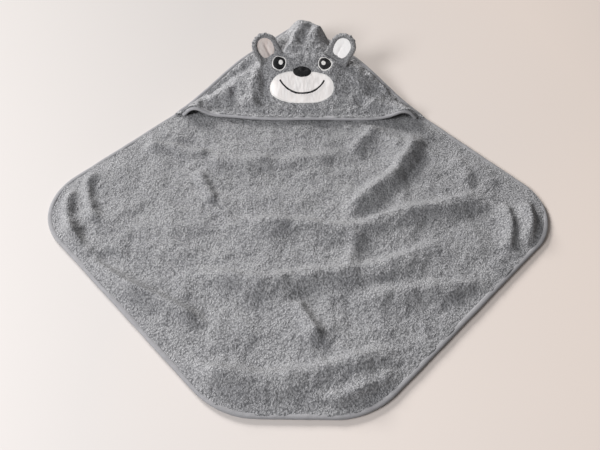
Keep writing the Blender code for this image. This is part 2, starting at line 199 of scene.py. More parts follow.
def tufts(x, y, cell, seed):
    """Rounded clumps of pile, 0 in the gaps to 1 on the tufts."""
    jitter = np.random.default_rng(seed).uniform(0.1, 0.9, (2, LATTICE, LATTICE))
    u, v, i, j = lattice_cell(x, y, cell)
    nearest = np.full(u.shape, 9.0)
    for di in (-1, 0, 1):
        for dj in (-1, 0, 1):
            a = (i + di) % LATTICE
            b = (j + dj) % LATTICE
            px = i + di + jitter[0, a, b]
            py = j + dj + jitter[1, a, b]
            nearest = np.minimum(nearest, (u - px) ** 2 + (v - py) ** 2)
    return np.sqrt(np.clip(1 - nearest, 0, 1))


def pairs(first, second):
    return np.stack([first, second], axis=1)


def unit(vectors):
    return vectors / np.linalg.norm(vectors, axis=1)[:, None]


def run_along(line):
    """Distance from a line's start at each of its points."""
    return np.concatenate([[0], np.cumsum(np.linalg.norm(np.diff(line, axis=0), axis=1))])


def points_at(places, run, line):
    """Points of a line at given distances from its start."""
    return np.stack([np.interp(places, run, line[:, k]) for k in range(line.shape[1])], axis=1)


def curve_through(points, steps=12):
    """Smooth curve through points."""
    p = np.concatenate([points[:1], points, points[-1:]])
    out = []
    for k in range(1, len(p) - 2):
        for i in range(steps):
            t = i / steps
            a, b, c, d = p[k - 1], p[k], p[k + 1], p[k + 2]
            out.append(0.5 * (2 * b + (c - a) * t + (2 * a - 5 * b + 4 * c - d) * t * t
                              + (3 * b - a - 3 * c + d) * t ** 3))
    out.append(p[-2])
    return np.array(out)


def fold(x, y, points, height, above, below):
    """Soft fold along a line: above is its width on the line's left side, below on its right."""
    line = curve_through(points)
    tangent = unit(np.gradient(line, axis=0))
    length = run_along(line)
    near = np.full(x.shape, 1e9)
    which = np.zeros(x.shape, int)
    for k, (px, py) in enumerate(line):
        d = (x - px) ** 2 + (y - py) ** 2
        closer = d < near
        near = np.where(closer, d, near)
        which = np.where(closer, k, which)
    tx, ty = tangent[which, 0], tangent[which, 1]
    dx = x - line[which, 0]
    dy = y - line[which, 1]
    side = tx * dy - ty * dx
    along = length[which] + tx * dx + ty * dy
    fade = FOLD_TAPER * length[-1]
    taper = ease(along / fade) * ease((length[-1] - along) / fade)
    return height * taper * bell(side / np.where(side > 0, above, below))


def all_folds(x, y, table, gain, spread):
    total = np.zeros(x.shape)
    for height, above, below, points in table:
        total += fold(x, y, np.reshape(points, (-1, 2)) / 1000, gain * height / 1000,
                      spread[0] * above / 1000, spread[1] * below / 1000)
    return total


# ---- shape of the cloth, in plan
# coordinates as in the CAD: x as in the world, y CENTRE_Y further up

def inside(x, y):
    """Distance in from the towel's outline."""
    ax = np.abs(x)
    upper = (HALF_DIAGONAL - ax - y) / ROOT2
    lower = (HALF_DIAGONAL - ax + y) / ROOT2
    depth = np.minimum(np.minimum(upper, lower), y - FOOT_Y)
    side = SIDE_RADIUS - np.hypot(ax - SIDE_CENTRE, y)
    depth = np.where((ax > SIDE_CENTRE) & (np.abs(y) < ax - SIDE_CENTRE), side, depth)
    tip = APEX_RADIUS - np.hypot(ax, y - APEX_CENTRE_Y)
    depth = np.where(y - APEX_CENTRE_Y > ax, tip, depth)
    foot_x = ax - FOOT_CENTRE_X
    foot_y = y - FOOT_CENTRE_Y
    foot = FOOT_RADIUS - np.hypot(foot_x, foot_y)
    return np.where((foot_x > 0) & (-foot_y > foot_x), foot, depth)


def seam_rise(y):
    return SEAM_RISE * ease((y - HOOD_BASE_Y) / SEAM_RISE_RUN)


def seam_distance(x, y):
    return np.maximum(0, (HALF_DIAGONAL - np.hypot(x, RIDGE_SOFTNESS) - y) / ROOT2 - PANEL_INSET)


def front_y(x):
    """Hood's front edge: bowed, and slightly wavy away from its ends."""
    wave = 0.0016 * np.sin(x / 0.034 + 0.4) * ease((0.2 - np.abs(x)) / 0.05)
    return HOOD_BASE_Y - FRONT_BOW * (1 - np.minimum(1, (x / HOOD_HALF) ** 2)) + wave


def back_under(x, y):
    return seam_rise(y) * (1 - np.clip(seam_distance(x, y) / CURL_WIDTH, 0, 1)) ** 2


# Folds in millimetres, with y from the object's middle: height, width on the left and on the right
# of the line, and the line's points as x, y, x, y. Dents: x, y, radius and depth.
TOWEL_FOLDS = [
    (3.4, 20, 12, (100, 96, 30, 78, -50, 68, -120, 66, -210, 74)),
    (3.4, 12, 10, (165, 178, 150, 150, 125, 118, 100, 98)),
    (6, 16, 12, (252, 165, 232, 100, 200, 45, 155, 0, 115, -40, 80, -80)),
    (5.2, 18, 12, (400, 6, 330, -25, 250, -50, 170, -75, 120, -97, 70, -100, 0, -90, -90, -88,
        -170, -80)),
    (5.4, 22, 12, (295, -122, 250, -142, 170, -178, 100, -196, 0, -206, -60, -220, -140, -208,
        -230, -200)),
    (3.2, 16, 12, (370, -219, 250, -228, 170, -240, 80, -264)),
    (5.6, 18, 12, (185, -340, 100, -369, 30, -392, -30, -399, -100, -400, -210, -378)),
    (2.4, 10, 12, (95, -195, 105, -150, 118, -105)),
    (5.6, 14, 9, (-150, -312, -211, -277, -308, -232, -363, -197, -396, -169)),
    (4.6, 12, 9, (45, -340, 22, -300, -1, -250)),
    (3, 14, 14, (190, 55, 205, 100, 215, 145)),
    (3, 10, 14, (45, -446, 100, -425, 180, -392)),
    (4.4, 8, 9, (-401, -158, -433, -113, -454, -53, -451, 0)),
    (4, 8, 9, (-385, -100, -410, -53, -424, -2, -418, 50)),
    (3.6, 9, 9, (-385, -175, -420, -140, -455, -95)),
    (4, 10, 8, (437, -140, 455, -80, 455, -25)),
    (3.6, 10, 9, (395, -150, 414, -80, 405, -25)),
    (-3, 12, 12, (-200, -196, -300, -190, -390, -160)),
    (-2.8, 12, 12, (270, 110, 245, 60, 205, 25)),
    (-2.4, 10, 10, (-180, 104, -250, 112, -310, 122)),
    (3.6, 9, 9, (-163, -46, -187, -1, -210, 45)),
    (3.6, 13, 9, (-175, 77, -209, 95, -284, 108, -334, 93)),
    (2.2, 12, 12, (330, 10, 345, 50, 320, 90)),
]
TOWEL_DENTS = [
    (-290, -70, 18, 3), (-160, -122, 22, 2.8), (-50, -362, 20, 3.5), (315, -245, 18, 2.8),
    (-45, 48, 22, 2), (365, -70, 18, 2), (20, -250, 22, 3), (310, 125, 20, 2.6),
    (-150, -250, 30, 2.2),
]
HOOD_FOLDS = [
    (-1.8, 8, 8, (-12, 445, -22, 420, -22, 385)),
    (-3.6, 8, 8, (26, 424, 18, 402, 8, 380, -4, 345)),
    (-6, 8, 8, (-20, 405, -34, 365, -52, 330)),
    (4.8, 8, 7, (-4, 395, -20, 362, -34, 326)),
    (1.4, 8, 8, (0, 440, -4, 420, 0, 395)),
    (2, 10, 8, (46, 430, 38, 400, 30, 360)),
    (-5.6, 10, 9, (-82, 312, -77, 265, -86, 205)),
    (3.6, 10, 10, (-106, 280, -100, 245, -110, 205)),
    (-6.6, 10, 12, (-70, 332, -130, 298, -190, 268, -232, 240)),
    (4.2, 10, 10, (-95, 345, -150, 312, -205, 268)),
    (-5, 10, 10, (-225, 214, -190, 207, -160, 226)),
    (3.6, 10, 10, (-205, 232, -180, 236, -150, 255)),
    (-3.4, 8, 8, (-150, 262, -142, 232, -160, 202)),
    (-3, 12, 12, (96, 318, 100, 275, 122, 235)),
    (-3.6, 10, 10, (180, 275, 150, 245, 120, 215)),
    (3.2, 10, 10, (120, 250, 175, 218, 228, 206)),
    (-5, 9, 9, (214, 252, 228, 232, 240, 212)),
    (3, 10, 10, (150, 310, 175, 285, 205, 258)),
    (-3, 10, 10, (50, 345, 75, 330, 100, 335)),
]


def towel_folds(x, y):
    """Extra height of the lying towel."""
    wy = y - CENTRE_Y
    total = all_folds(x, wy, TOWEL_FOLDS, FOLD_GAIN, FOLD_SPREAD)
    for cx, cy, radius, depth in np.array(TOWEL_DENTS) / 1000:
        total -= FOLD_GAIN * depth * bell((x - cx) / (DENT_SPREAD * radius),
                                          (wy - cy) / (DENT_SPREAD * radius))
    return total + relief(x, y, TOWEL_RELIEF) + TOWEL_RAISED


def under_hood(x, y):
    """0 on the open towel, 1 where the hood covers it."""
    return ease((y - front_y(x) + 0.012) / 0.016)


def towel_top(x, y):
    depth = inside(x, y)
    covered = under_hood(x, y)
    folds = towel_folds(x, y) * (0.30 + 0.70 * ease((depth - 0.010) / 0.030))
    lowest = -0.0018
    folds = np.where(folds < 0, lowest * np.tanh(folds / lowest), folds) + 0.0004
    grain = 0.62 * tufts(x, y, 0.0062, 21) + 0.38 * (0.5 + 0.5 * noise(x, y, 0.0034, 22))
    grain += 0.45 * noise(x, y, 0.011, 23)
    off_tape = ease((depth - TAPE_WIDTH) / 0.006)
    pile = PILE * (grain - 0.35) * (0.35 + 0.65 * off_tape) * (1 - 0.5 * covered)
    return back_under(x, y) + CLOTH + folds * (1 - covered) + pile


def towel_under(x, y):
    off_edge = ease((inside(x, y) - 0.012) / 0.030)
    lift = np.maximum(0, towel_folds(x, y)) * off_edge * (1 - under_hood(x, y))
    return back_under(x, y) + 0.0004 + 0.85 * lift


def hood_base(x, y):
    """Underside of the hood: a puff with gaping ends at the front and a knob at the tip."""
    wy = y - CENTRE_Y
    behind = np.maximum(0, y - front_y(x))
    from_seam = seam_distance(x, y)
    held = ease(from_seam / 0.014)
    puff = CROWN * dome(from_seam / CROWN_SIDE_RUN) * dome(behind / CROWN_FRONT_RUN)
    at_end = (np.abs(x) / HOOD_HALF - 0.90) / 0.12
    gape = 0.019 * bell(at_end, behind / 0.035) * dome(from_seam / 0.035)
    edge_lift = 0.0072 * bell(behind / 0.030) * held
    knob = 0.027 * bell(((x - 0.015) / 0.040) ** 2, (wy - 0.412) / 0.040) * dome(from_seam / 0.014)
    swell = 0.004 * bell((x + 0.15) / 0.05, (wy - 0.30) / 0.04) * held
    return CLOTH + LAYER_GAP + seam_rise(y) + puff + gape + edge_lift + knob + swell


def hood_bulge(x, y):
    """How far the hood's cloth swells out sideways over its seams."""
    reach = 0.012
    from_seam = seam_distance(x, y)
    near_tip = bell((y - CENTRE_Y - 0.435) / 0.050)
    amount = (0.0022 + 0.0075 * near_tip) * from_seam / reach * np.exp(1 - from_seam / reach)
    amount = amount * ease((y - front_y(x)) / 0.05)
    return amount * x / np.hypot(x, RIDGE_SOFTNESS) / ROOT2, amount / ROOT2


def hood_folds(x, y):
    total = all_folds(x, y - CENTRE_Y, HOOD_FOLDS, HOOD_FOLD_GAIN, HOOD_FOLD_SPREAD)
    calm = 0.25 + 0.75 * ease((muzzle_level(x, y) - 0.9) / 0.4)
    total += relief(x, y, HOOD_RELIEF)
    total += calm * relief(x, y, HOOD_FINE_RELIEF)
    off_front = 0.35 + 0.65 * ease((y - front_y(x)) / 0.018)
    return total * ease(seam_distance(x, y) / 0.012) * off_front


def hood_smooth(x, y):
    """Top of the hood without its pile: what the face is sewn on."""
    return hood_base(x, y) + CLOTH + hood_folds(x, y)


# ---- face places, from the CAD's nodes

def middle(node):
    low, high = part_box(node)
    return (low[0] + high[0]) / 2, (low[1] + high[1]) / 2 + CENTRE_Y


def half_size(node):
    low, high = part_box(node)
    return (high[0] - low[0]) / 2, (high[1] - low[1]) / 2


MUZZLE = (middle("muzzle_border_stitching")[0], NECK_Y + MUZZLE_UP)
NOSE = middle("nose")
NOSE_HALF = half_size("nose")
MOUTH_X = middle("mouth")[0]
EYES = {"left": middle("left_eye_ring"), "right": middle("right_eye_ring")}
EYE_RADIUS = half_size("left_eye_ring")[0]


def muzzle_line(angle, margin=0.0):
    """Points of the muzzle's outline: a bowl below and two lobes above."""
    c = np.sign(np.cos(angle)) * np.abs(np.cos(angle)) ** MUZZLE_POWER
    s = np.sign(np.sin(angle)) * np.abs(np.sin(angle)) ** MUZZLE_POWER
    x = (MUZZLE_HALF_WIDTH + margin) * c
    half = MUZZLE_HALF_HEIGHT + margin
    y = half * s
    y = np.where(y > 0, y - MUZZLE_DIP * bell(x / MUZZLE_DIP_WIDTH) * y / half, y)
    return pairs(MUZZLE[0] + x, MUZZLE[1] + y)


def muzzle_level(x, y):
    """Below 1 inside the muzzle."""
    u = np.abs(x - MUZZLE[0]) / MUZZLE_HALF_WIDTH
    v = (y - MUZZLE[1]) / MUZZLE_HALF_HEIGHT
    v = np.where(v > 0, v / (1 - 0.18 * bell((x - MUZZLE[0]) / MUZZLE_DIP_WIDTH)), v)
    p = 2 / MUZZLE_POWER
    return (u ** p + np.abs(v) ** p) ** (1 / p)


def face_mask(x, y):
    """1 on the open pile, 0 where the face presses it down."""
    mask = ease((muzzle_level(x, y) - 0.985) / 0.035)
    for cx, cy in EYES.values():
        mask = mask * ease((np.hypot(x - cx, y - cy) - EYE_RADIUS + 0.001) / 0.0022)
    nose = np.hypot((x - NOSE[0]) / NOSE_HALF[0], (y - NOSE[1]) / NOSE_HALF[1])
    return mask * ease((nose - 0.97) / 0.12)


def hood_top(x, y):
    grain = 0.60 * tufts(x, y, 0.0058, 31) + 0.40 * (0.5 + 0.5 * noise(x, y, 0.0032, 32))
    grain += 0.50 * noise(x, y, 0.0115, 33)
    off_tape = 0.3 + 0.7 * ease((inside(x, y) - TAPE_WIDTH) / 0.006)
    pile = (0.0007 + HOOD_PILE * (grain - 0.30)) * face_mask(x, y) * off_tape
    return hood_smooth(x, y) + pile


# ---- materials

WHITE = (1.0, 1.0, 1.0)


def node_material(name):
    made = bpy.data.materials.new(name)
    made.use_nodes = True
    tree = made.node_tree
    return made, tree, tree.nodes["Principled BSDF"]


def add(tree, kind, source=None, **values):
    """Node with its settings and inputs set by name; source goes into Vector."""
    node = tree.nodes.new(kind)
    for key, value in values.items():
        if hasattr(node, key):
            setattr(node, key, value)
        else:
            node.inputs[key.replace("_", " ")].default_value = value
    if source is not None:
        tree.links.new(source, node.inputs["Vector"])
    return node


def object_place(tree):
    return tree.nodes.new("ShaderNodeTexCoord").outputs["Object"]


def noise_node(tree, place, scale, detail, roughness=0.5, distortion=0.0):
    node = add(tree, "ShaderNodeTexNoise", place, Scale=scale, Detail=detail, Roughness=roughness,
               Distortion=distortion)
    return node.outputs["Fac"]


def ramp(tree, source, stops):
    node = tree.nodes.new("ShaderNodeValToRGB")
    for element, (place, colour) in zip(node.color_ramp.elements, stops):
        element.position = place
        element.color = (*colour, 1)
    tree.links.new(source, node.inputs[0])
    return node.outputs["Color"]


def multiplied(tree, first, second):
    node = add(tree, "ShaderNodeMix", data_type="RGBA", blend_type="MULTIPLY")
    node.inputs[0].default_value = 1.0
    tree.links.new(first, node.inputs[6])
    tree.links.new(second, node.inputs[7])
    return node.outputs[2]


def math_node(tree, operation, first, second):
    node = add(tree, "ShaderNodeMath", operation=operation)
    for value, socket in ((first, node.inputs[0]), (second, node.inputs[1])):
        if isinstance(value, float):
            socket.default_value = value
        else:
            tree.links.new(value, socket)
    return node.outputs[0]


def weighted(tree, first, share, second, other_share):
    return math_node(tree, "ADD", math_node(tree, "MULTIPLY", first, share),
                     math_node(tree, "MULTIPLY", second, other_share))


def finish_shader(tree, shader, colour, height, bump, roughness, specular, sheen):
    """Colour, bump as (strength, distance), and gloss; sheen is (weight, roughness)."""
    tree.links.new(colour, shader.inputs["Base Color"])
    made_bump = add(tree, "ShaderNodeBump", Strength=bump[0], Distance=bump[1])
    tree.links.new(height, made_bump.inputs["Height"])
    tree.links.new(made_bump.outputs["Normal"], shader.inputs["Normal"])
    shader.inputs["Roughness"].default_value = roughness
    shader.inputs["Specular IOR Level"].default_value = specular
    shader.inputs["Sheen Weight"].default_value = sheen[0]
    shader.inputs["Sheen Roughness"].default_value = sheen[1]


def fleece(name, dark, light, scale=1.0):
    """Coral fleece: clumps of short pile, with painted shade at the roots and painted light on the
    tips.
    """
    made, tree, shader = node_material(name)
    place = object_place(tree)
    warp = add(tree, "ShaderNodeTexNoise", place, Scale=130 * scale, Detail=3.0)
    fibres = noise_node(tree, place, 290 * scale, 6.0, 0.72, 0.2)
    shade = noise_node(tree, place, 16 * scale, 3.0, 0.55)
    bent = add(tree, "ShaderNodeVectorMath", operation="MULTIPLY_ADD")
    tree.links.new(warp.outputs["Color"], bent.inputs[0])
    bent.inputs[1].default_value = (0.0025 / scale,) * 3
    tree.links.new(place, bent.inputs[2])
    clumps = add(tree, "ShaderNodeTexVoronoi", bent.outputs[0], feature="SMOOTH_F1",
                 Scale=300 * scale, Randomness=1.0, Smoothness=0.6)
    tips = math_node(tree, "SUBTRACT", 1.0,
                     math_node(tree, "MULTIPLY", clumps.outputs["Distance"], 1.15))
    height = weighted(tree, tips, 0.50, fibres, 0.90)
    # The colour follows the pile's height: painted shade in the hollows between the tufts and
    # painted light on their tips.
    grain = ramp(tree, height, ((0.50, dark), (0.98, light)))
    broad = ramp(tree, shade, ((0.35, (0.90, 0.90, 0.91)), (0.65, WHITE)))
    finish_shader(tree, shader, multiplied(tree, grain, broad), height, bump=(1.0, 0.0058),
                  roughness=0.95, specular=0.12, sheen=(0.25, 0.45))
    return made


def tape_material(name, dark, light):
    """Ribbed knit tape; U runs along it and V across it, in millimetres."""
    made, tree, shader = node_material(name)
    place = add(tree, "ShaderNodeUVMap", uv_map="Along").outputs["UV"]
    ribs = add(tree, "ShaderNodeTexWave", place, bands_direction="DIAGONAL", Scale=0.62,
               Distortion=1.2, Detail=2.0, Detail_Scale=1.6)
    speckle = noise_node(tree, place, 0.9, 5.0, 0.65)
    patchy = noise_node(tree, place, 0.06, 2.0)
    height = weighted(tree, ribs.outputs["Fac"], 0.5, speckle, 0.6)
    knit = ramp(tree, height, ((0.25, dark), (0.80, light)))
    broad = ramp(tree, patchy, ((0.35, (0.92, 0.92, 0.92)), (0.65, WHITE)))
    finish_shader(tree, shader, multiplied(tree, knit, broad), height, bump=(0.5, 0.0003),
                  roughness=0.85, specular=0.15, sheen=(0.15, 0.35))
    return made


def thread_material(name, dark, light, scale, roughness, angle=0.0):
    """Dense embroidery thread, in rows along one direction of the ground plan."""
    made, tree, shader = node_material(name)
    place = add(tree, "ShaderNodeMapping", object_place(tree), Rotation=(0, 0, angle)).outputs[0]
    rows = add(tree, "ShaderNodeTexWave", place, bands_direction="Y", Scale=scale, Distortion=2.5,
               Detail=3.0, Detail_Scale=2.5)
    fibre = noise_node(tree, place, 2600, 3.0)
    height = weighted(tree, rows.outputs["Fac"], 0.7, fibre, 0.3)
    colour = ramp(tree, height, ((0.2, dark), (0.9, light)))
    finish_shader(tree, shader, colour, height, bump=(0.6, 0.0003), roughness=roughness,
                  specular=0.22, sheen=(0.1, 0.5))
    return made


def plush_patch_material(name, dark, light, streak):
    """Short-napped applique cloth with faint streaks where the nap turns."""
    made, tree, shader = node_material(name)
    place = object_place(tree)
    stretched = add(tree, "ShaderNodeMapping", place, Scale=(1.0, 0.16, 0.16)).outputs[0]
    streaks = noise_node(tree, stretched, 150, 4.0, 0.6)
    nap = noise_node(tree, place, 1500, 4.0, 0.7)
    base = ramp(tree, nap, ((0.25, dark), (0.75, light)))
    tone = ramp(tree, streaks, ((0.42, streak), (0.60, WHITE)))
    height = weighted(tree, nap, 0.4, streaks, 0.6)
    finish_shader(tree, shader, multiplied(tree, base, tone), height, bump=(0.35, 0.0008),
                  roughness=0.85, specular=0.2, sheen=(0.35, 0.35))
    return made


GREY = fleece("grey_fleece", (0.185, 0.186, 0.194), (0.555, 0.552, 0.566))
HOOD_GREY = fleece("grey_fleece_hood", (0.205, 0.206, 0.215), (0.690, 0.686, 0.702))
EAR_GREY = fleece("grey_fleece_ear", (0.230, 0.230, 0.236), (0.590, 0.585, 0.592), scale=1.15)
# The two tapes are one binding: the front copy is lighter, painted light on the hood's raised
# front edge.
TAPE = tape_material("grey_tape", (0.235, 0.233, 0.243), (0.335, 0.331, 0.343))
FRONT_TAPE_PAINTED_LIGHT = tape_material("grey_tape_front_painted_light", (0.345, 0.343, 0.355), (0.485, 0.480, 0.495))
GREY_THREAD = thread_material("grey_thread", (0.30, 0.30, 0.31), (0.46, 0.455, 0.47), 900,
                              roughness=0.6, angle=0.8)
WHITE_THREAD = thread_material("white_thread", (0.84, 0.82, 0.80), (0.96, 0.94, 0.92), 700,
                               roughness=0.5)
BLACK_THREAD = thread_material("black_thread", (0.004, 0.004, 0.005), (0.016, 0.016, 0.018), 420,
                               roughness=0.42)
WHITE_PLUSH = plush_patch_material("white_applique", (0.92, 0.885, 0.87), (0.985, 0.955, 0.94),
                                   streak=(0.965, 0.95, 0.94))
# The left lining is a darker, pinker copy of the right one: painted shade, for the left ear's
# lining turned away from the light.
LINING = {
    "left": plush_patch_material("ear_lining_left_painted_shade", (0.74, 0.665, 0.63), (0.88, 0.81, 0.78),
                                 streak=(0.88, 0.84, 0.82)),
    "right": plush_patch_material("ear_lining_right", (0.93, 0.91, 0.90), (0.99, 0.975, 0.965),
                                  streak=(0.975, 0.965, 0.96)),
}


# ---- making meshes

def to_world(x, y, z):
    return np.stack([x, y - CENTRE_Y, z], axis=-1)


def mesh_object(name, points, faces, material):
    data = bpy.data.meshes.new(name)
    data.from_pydata(np.asarray(points, float).tolist(), [], [list(map(int, f)) for f in faces])
    data.validate()
    data.materials.append(material)
    data.shade_smooth()
    made = bpy.data.objects.new(name, data)
    bpy.context.scene.collection.objects.link(made)
    return made


def rim_of(quads):
    """Vertices round the quads' open boundary, in order."""
    edges = np.concatenate([quads[:, [k, (k + 1) % 4]] for k in range(4)])
    key = np.sort(edges, axis=1)
    _, first, counts = np.unique(key[:, 0] * 10 ** 7 + key[:, 1], return_index=True,
                                 return_counts=True)
    rim_edges = edges[first[counts == 1]]
    following = dict(rim_edges.tolist())
    rim = [int(rim_edges[0, 0])]
    while following[rim[-1]] != rim[0]:
        rim.append(following[rim[-1]])
    return np.array(rim)


def closed_sheet(name, spacings, shape, limits, top, under, material, shift=None):
    """Closed sheet over the plan where shape(x, y) >= 0: a fine upper side, turned 45 degrees
    so that its rows follow the seams, and a coarser lower one. limits is a box round it."""
    spacing, low_spacing = spacings
    half_span = 0.80

    def near(x, y):
        return (x > limits[0]) & (x < limits[1]) & (y > limits[2]) & (y < limits[3])

    # Upper side
    count = int(half_span / spacing) + 2
    ticks = np.arange(-count, count + 1) * spacing
    p, q = np.meshgrid(ticks, ticks, indexing="ij")
    x, y = (p - q) / ROOT2, (p + q) / ROOT2
    good = near(x, y) & (shape(x, y) >= 0)
    cells = good[:-1, :-1] & good[1:, :-1] & good[:-1, 1:] & good[1:, 1:]
    index = np.arange(p.size).reshape(p.shape)
    quads = np.stack([index[:-1, :-1][cells], index[1:, :-1][cells], index[1:, 1:][cells],
                      index[:-1, 1:][cells]], axis=1)
    used, quads = np.unique(quads, return_inverse=True)
    quads = quads.reshape(-1, 4)
    px, py = x.ravel()[used], y.ravel()[used]
    rim = rim_of(quads)

    # Lower side
    lows = np.arange(-int(half_span / low_spacing), int(half_span / low_spacing) + 1) * low_spacing
    lx, ly = (v.ravel() for v in np.meshgrid(lows, lows, indexing="ij"))
    keep = near(lx, ly) & (shape(lx, ly) > 0.6 * low_spacing)
    flat = [Vector(v) for v in zip(px[rim], py[rim])]
    flat += [Vector(v) for v in zip(lx[keep], ly[keep])]
    loop = [(i, (i + 1) % len(rim)) for i in range(len(rim))]
    verts, _, faces, origin, _, _ = delaunay_2d_cdt(flat, loop, [], 1, 1e-7, True)
    first_rim = len(px)
    first_low = first_rim + len(rim)
    ids = []
    low_points = []
    for vert, source in zip(verts, origin):
        if source and source[0] < len(rim):
            ids.append(first_rim + source[0])
        else:
            ids.append(first_low + len(low_points))
            low_points.append((vert[0], vert[1]))
    lower = np.concatenate([pairs(px[rim], py[rim]), np.array(low_points)])

    points = np.concatenate([to_world(px, py, top(px, py)),
                             to_world(lower[:, 0], lower[:, 1], under(lower[:, 0], lower[:, 1]))])
    if shift is not None:
        dx, dy = shift(points[:, 0], points[:, 1] + CENTRE_Y)
        points[:, 0] += dx
        points[:, 1] += dy
    sides = [(rim[j], rim[i], first_rim + i, first_rim + j) for i, j in loop]
    bottoms = []
    for face in faces:
        first, second, third = (verts[i] for i in face)
        sliver = abs((second - first).cross(third - first)) < 1e-9
        cx, cy = (first + second + third) / 3
        if sliver or not cells[int((cx + cy) / ROOT2 / spacing + count),
                               int((cy - cx) / ROOT2 / spacing + count)]:
            continue
        corners = [ids[i] for i in face]
        a, b, c = (points[i] for i in corners)
        if np.cross(b - a, c - a)[2] > 0:
            corners.reverse()
        bottoms.append(corners)
    made = mesh_object(name, points, quads.tolist() + sides + bottoms, material)
    add_bake_map(made, len(quads))
    return made


def add_bake_map(made, top_faces):
    """Bake map: the upper side large, the lower side small beside it."""
    data = made.data
    layer = data.uv_layers.new(name="OFBake")
    co = np.empty(len(data.vertices) * 3)
    data.vertices.foreach_get("co", co)
    co = co.reshape(-1, 3)
    low = co.min(axis=0)
    size = (co.max(axis=0) - low)[:2].max()
    corner_vertex = np.empty(len(data.loops), int)
    data.loops.foreach_get("vertex_index", corner_vertex)
    place = (co[corner_vertex][:, :2] - low[:2]) / size
    starts = np.empty(len(data.polygons), int)
    data.polygons.foreach_get("loop_start", starts)
    split = starts[top_faces]
    uv = np.empty((len(corner_vertex), 2))
    uv[:split] = place[:split] * 0.79 + 0.002
    uv[split:] = place[split:] * 0.19 + np.array([0.80, 0.002])
    layer.data.foreach_set("uv", uv.ravel())


def tube_faces(rings, around, closed=False):
    """Faces of a tube made of rings of points, capped at both ends unless it is closed."""
    faces = []
    for i in range(rings if closed else rings - 1):
        a, b = i * around, (i + 1) % rings * around
        for k in range(around):
            n = (k + 1) % around
            faces.append((a + n, b + n, b + k, a + k))
    if not closed:
        faces.append(tuple(reversed(range(around))))
        faces.append(tuple((rings - 1) * around + k for k in range(around)))
    return faces


def turned_over(faces):
    return [tuple(reversed(face)) for face in faces]


def sweep(name, centres, acrosses, ups, sections, material, closed):
    """Tube with a cross-section at each point of a line, and millimetre UVs along and round it."""
    rings, around = len(centres), len(sections[0])
    a = np.array(sections)
    points = (centres[:, None, :] + acrosses[:, None, :] * a[:, :, 0:1]
              + ups[:, None, :] * a[:, :, 1:2])
    made = mesh_object(name, points.reshape(-1, 3), tube_faces(rings, around, closed), material)
    run = run_along(centres) * 1000
    girth = run_along(points[rings // 2]) * 1000
    layer = made.data.uv_layers.new(name="Along")
    uv = []
    for i in range(rings if closed else rings - 1):
        end = run[i] + (run[1] - run[0]) if i == rings - 1 else run[i + 1]
        for k in range(around):
            top = girth[k + 1] if k + 1 < around else girth[-1] + girth[1]
            uv += [run[i], top, end, top, end, girth[k], run[i], girth[k]]
    if not closed:
        uv += [0.0, 0.0] * (2 * around)
    layer.data.foreach_set("uv", np.array(uv))
    return made


def oval(around, power=2.6):
    """Cross-section within -1..1; a power over 2 is squarer than an ellipse."""
    angles = 2 * np.pi * np.arange(around) / around
    c, s = np.cos(angles), np.sin(angles)
    return pairs(np.sign(c) * np.abs(c) ** (2 / power), np.sign(s) * np.abs(s) ** (2 / power))


def lens_faces(rings, around):
    """Faces of a closed lens: rings that shrink to a middle point above, and a fan below."""
    faces = []
    for r in range(rings - 1):
        for k in range(around):
            n = (k + 1) % around
            faces.append((r * around + k, r * around + n,
                          (r + 1) * around + n, (r + 1) * around + k))
    inner = (rings - 1) * around
    top_middle = rings * around
    low = top_middle + 1
    for k in range(around):
        n = (k + 1) % around
        faces.append((inner + k, inner + n, top_middle))
        faces.append((low + k, low + n, n, k))
        faces.append((low + around, low + n, low + k))
    return faces


def shrunk(line, centre, shares):
    """A closed line drawn in towards its centre, once for each share."""
    return centre + (line - centre)[None] * shares[:, None, None]


# ---- towel, tapes and stitches

def outline(inset, step):
    """Closed outline at an inset, evenly stepped, counter-clockwise from the right corner."""
    arcs = [((SIDE_CENTRE, 0), SIDE_RADIUS, -45, 45),
            ((0, APEX_CENTRE_Y), APEX_RADIUS, 45, 135),
            ((-SIDE_CENTRE, 0), SIDE_RADIUS, 135, 225),
            ((-FOOT_CENTRE_X, FOOT_CENTRE_Y), FOOT_RADIUS, 225, 270),
            ((FOOT_CENTRE_X, FOOT_CENTRE_Y), FOOT_RADIUS, 270, 315)]
    points = []
    for (cx, cy), radius, start, end in arcs:
        angles = np.radians(np.linspace(start, end, 120))
        points.append(pairs(cx + (radius - inset) * np.cos(angles),
                            cy + (radius - inset) * np.sin(angles)))
    line = np.concatenate(points + [points[0][:1]])
    run = run_along(line)
    return points_at(np.linspace(0, run[-1], int(run[-1] / step), endpoint=False), run, line)


def outline_heights(line):
    x, y = line[:, 0], line[:, 1]
    rise = seam_rise(y)
    puckers = relief(x, y, ((0.00035, 0.022, 41), (0.0003, 0.009, 42)))
    hood_sewn_in = ease((y - HOOD_BASE_Y + 0.012) / 0.016)
    return rise + TAPE_LOW, rise + TAPE_HIGH + HOOD_SEAM_HIGHER * hood_sewn_in + puckers


def flat_across(normal):
    return np.concatenate([normal, np.zeros((len(normal), 1))], axis=1)


def left_normal(tangent):
    tangent = unit(tangent)
    return pairs(-tangent[:, 1], tangent[:, 0])


def build_outline_tape():
    line = outline(TAPE_ACROSS / 2 - 0.0004, TAPE_STEP)
    normal = left_normal(np.roll(line, -1, axis=0) - np.roll(line, 1, axis=0))
    low, high = outline_heights(line)
    line = line + normal * (0.0005 * noise(line[:, 0], line[:, 1], 0.05, 43))[:, None]
    centres = to_world(line[:, 0], line[:, 1], (low + high) / 2)
    up = np.tile([0.0, 0.0, 1.0], (len(normal), 1))
    sections = [oval(16) * np.array([TAPE_ACROSS / 2, tall]) for tall in (high - low) / 2]
    return sweep("outline_binding", centres, flat_across(normal), up, sections, TAPE, True)


